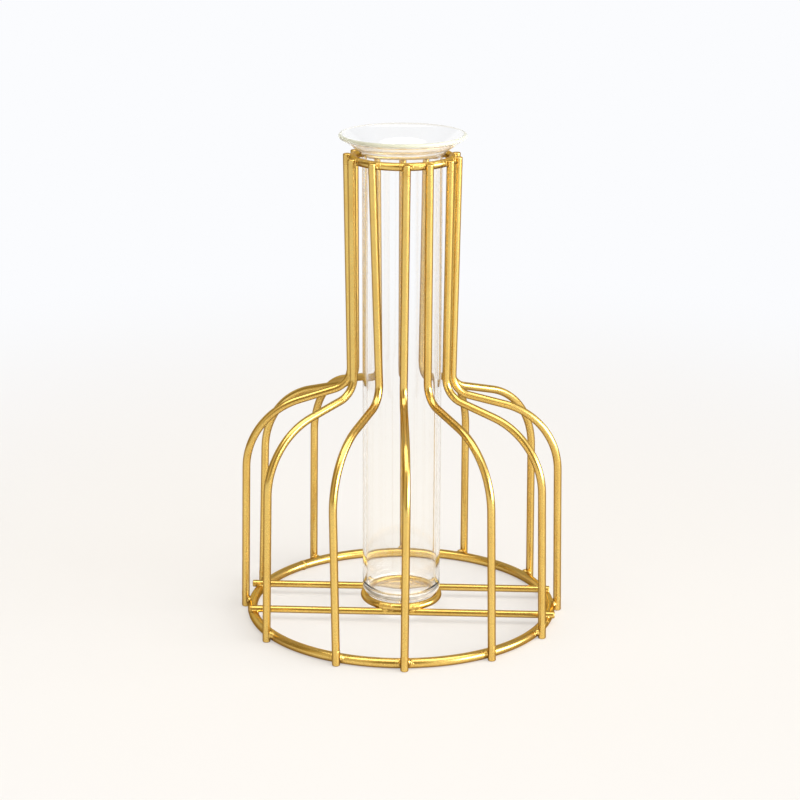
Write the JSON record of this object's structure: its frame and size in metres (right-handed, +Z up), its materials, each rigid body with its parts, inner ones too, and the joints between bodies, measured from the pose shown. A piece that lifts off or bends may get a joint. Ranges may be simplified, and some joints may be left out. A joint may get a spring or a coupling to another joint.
{
  "type": "hydroponic vase",
  "caption": "Hydroponic vase: a clear glass test tube with a flared mouth, standing in a bell-shaped cage of gold-coloured bent wires welded to rings.",
  "frame": {"origin": "centre of the base ring on the floor, under the tube's axis", "axes": "+Z up along the tube's axis, -Y to the front, +X to the right seen from the front"},
  "size_m": [0.1, 0.1, 0.15],
  "materials": {
    "gold_wire": "satin gold coating on steel wire",
    "gold_weld": "satin gold coating over weld beads",
    "clear_glass": "clear, polished"
  },
  "bodies": {
    "cage": {"upright_01": "gold_wire", "upright_02": "gold_wire", "upright_03": "gold_wire", "upright_04": "gold_wire", "upright_05": "gold_wire", "upright_06": "gold_wire", "upright_07": "gold_wire", "upright_08": "gold_wire", "upright_09": "gold_wire", "upright_10": "gold_wire", "upright_11": "gold_wire", "upright_12": "gold_wire", "neck_ring": "gold_wire", "base_ring": "gold_wire", "seat_ring": "gold_wire", "crossbar_front": "gold_wire", "crossbar_rear": "gold_wire", "neck_welds": "gold_weld", "foot_welds": "gold_weld", "crossbar_welds": "gold_weld", "seat_welds": "gold_weld", "ring_seam": "gold_weld"},
    "glass": {"glass_tube": "clear_glass"}
  },
  "joints": [
    {"name": "tube_lift", "type": "slide", "parent": "cage", "child": "glass", "axis": [0, 0, 1], "range_m": [0, 0.145]}
  ]
}
